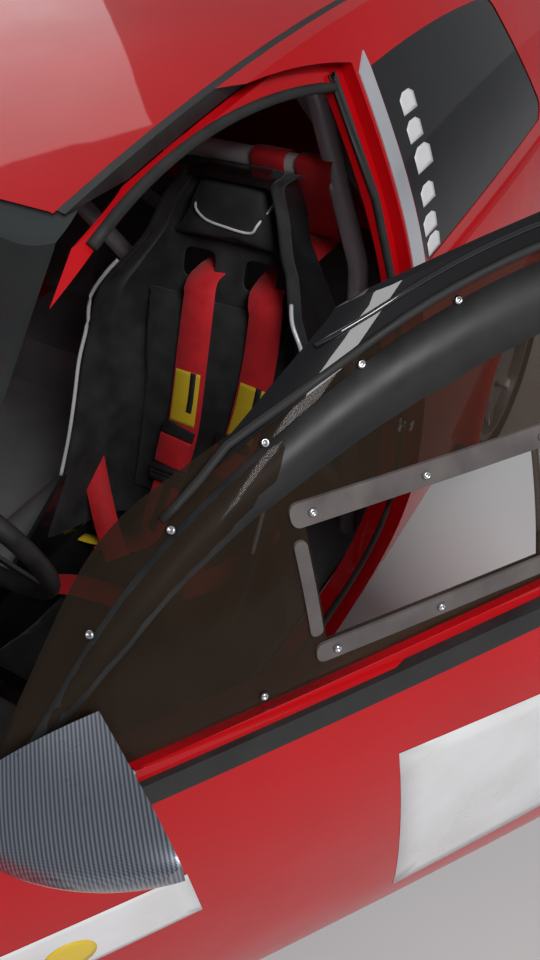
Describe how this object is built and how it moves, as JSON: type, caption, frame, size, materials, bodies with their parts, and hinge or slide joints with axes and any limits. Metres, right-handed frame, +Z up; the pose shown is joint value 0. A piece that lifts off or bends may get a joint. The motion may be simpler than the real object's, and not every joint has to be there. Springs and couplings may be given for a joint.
{
  "type": "hatchback",
  "caption": "Small three-door hatchback stripped for slalom racing, with bucket seat, roll cage, plastic side windows and its driver's door open.",
  "frame": {"origin": "on the ground, below the centre of the front axle", "axes": "+X to the car's left, +Y to its tail, +Z up"},
  "size_m": [2.3526, 3.6903, 1.3893],
  "materials": {
    "black_plastic": "satin",
    "body_red": "gloss",
    "bracket_steel": "satin",
    "cage_paint": "satin",
    "chassis_steel": "satin",
    "dark_glass": "polished",
    "dash_plastic": "matte",
    "engine_metal": "matte",
    "exhaust_steel": "satin",
    "floor_paint": "satin",
    "lamp_clear": "gloss",
    "lamp_red": "gloss",
    "mirror_shell": "gloss",
    "rim_alloy": "satin",
    "seat_cloth": "matte",
    "seat_shell_black": "gloss",
    "steering_leather": "matte",
    "tinted_polycarbonate": "polished",
    "tyre_rubber": "matte",
    "window_glass": "polished",
    "window_rail": "satin"
  },
  "bodies": {
    "body": {"dashboard": "dash_plastic", "drive_shafts": "chassis_steel", "engine_block": "engine_metal", "exhaust": "exhaust_steel", "floor_pan": "floor_paint", "front_bumper": "body_red", "front_frame": "chassis_steel", "front_wing_left": "body_red", "front_wing_right": "body_red", "grille": "black_plastic", "headlamps": "lamp_clear", "lower_arms": "chassis_steel", "pillar_trims": "body_red", "quarter_glass": "dark_glass", "rear_axle": "chassis_steel", "rear_bumper": "body_red", "roll_cage": "cage_paint", "roof_mouldings": "black_plastic", "roof_panel": "body_red", "scuttle": "black_plastic", "seat_brackets": "bracket_steel", "seat_pads": "seat_cloth", "seat_shell": "seat_shell_black", "side_frame_left": "body_red", "side_frame_right": "body_red", "tail_lamps": "lamp_red", "windscreen": "window_glass"},
    "door_left_body": {"door_left": "body_red", "door_left_moulding": "black_plastic", "door_left_slider": "window_rail", "door_left_window": "tinted_polycarbonate", "mirror_left": "mirror_shell"},
    "door_right_body": {"door_right": "body_red", "door_right_moulding": "black_plastic", "door_right_window": "window_glass", "mirror_right": "mirror_shell"},
    "bonnet_body": {"bonnet": "body_red"},
    "tailgate_body": {"tailgate": "body_red", "tailgate_glass": "window_glass"},
    "steering_wheel_body": {"steering_wheel": "steering_leather"},
    "knuckle_left_body": {"knuckle_left": "chassis_steel"},
    "wheel_front_left_body": {"wheel_front_left": "rim_alloy", "tyre_front_left": "tyre_rubber"},
    "wheel_rear_left_body": {"wheel_rear_left": "rim_alloy", "tyre_rear_left": "tyre_rubber"},
    "knuckle_right_body": {"knuckle_right": "chassis_steel"},
    "wheel_front_right_body": {"wheel_front_right": "rim_alloy", "tyre_front_right": "tyre_rubber"},
    "wheel_rear_right_body": {"wheel_rear_right": "rim_alloy", "tyre_rear_right": "tyre_rubber"}
  },
  "joints": [
    {"name": "steer_left", "type": "hinge", "parent": "body", "child": "knuckle_left_body", "pos_m": [0.604, 0, 0.196], "axis": [-0.1843, 0, 0.9829], "range_deg": [-30, 30]},
    {"name": "wheel_front_left_spin", "type": "hinge", "parent": "knuckle_left_body", "child": "wheel_front_left_body", "pos_m": [0.676, 0, 0.284], "axis": [1, 0, 0], "continuous": true},
    {"name": "wheel_rear_left_spin", "type": "hinge", "parent": "body", "child": "wheel_rear_left_body", "pos_m": [0.665, 2.385, 0.284], "axis": [1, 0, 0], "continuous": true},
    {"name": "steer_right", "type": "hinge", "parent": "body", "child": "knuckle_right_body", "pos_m": [-0.604, 0, 0.196], "axis": [0.1843, 0, 0.9829], "range_deg": [-30, 30]},
    {"name": "wheel_front_right_spin", "type": "hinge", "parent": "knuckle_right_body", "child": "wheel_front_right_body", "pos_m": [-0.676, 0, 0.284], "axis": [1, 0, 0], "continuous": true},
    {"name": "wheel_rear_right_spin", "type": "hinge", "parent": "body", "child": "wheel_rear_right_body", "pos_m": [-0.665, 2.385, 0.284], "axis": [1, 0, 0], "continuous": true},
    {"name": "steering_wheel_turn", "type": "hinge", "parent": "body", "child": "steering_wheel_body", "pos_m": [0.385, 0.835, 0.822], "axis": [0, 0.9598, 0.2806], "range_deg": [-420, 420]},
    {"name": "door_left_swing", "type": "hinge", "parent": "body", "child": "door_left_body", "pos_m": [0.768, 0.423, 0.6], "axis": [0, 0, -1], "range_deg": [-34, 31]},
    {"name": "door_right_swing", "type": "hinge", "parent": "body", "child": "door_right_body", "pos_m": [-0.768, 0.423, 0.6], "axis": [0, 0, 1], "range_deg": [0, 65]},
    {"name": "bonnet_lift", "type": "hinge", "parent": "body", "child": "bonnet_body", "pos_m": [0, 0.349, 0.937], "axis": [-1, 0, 0], "range_deg": [0, 55]},
    {"name": "tailgate_lift", "type": "hinge", "parent": "body", "child": "tailgate_body", "pos_m": [0, 2.652, 1.303], "axis": [1, 0, 0], "range_deg": [0, 75]}
  ],
  "couplings": [
    {"joint": "steer_right", "follows": "steer_left", "ratio": 1},
    {"joint": "steering_wheel_turn", "follows": "steer_left", "ratio": 14}
  ]
}
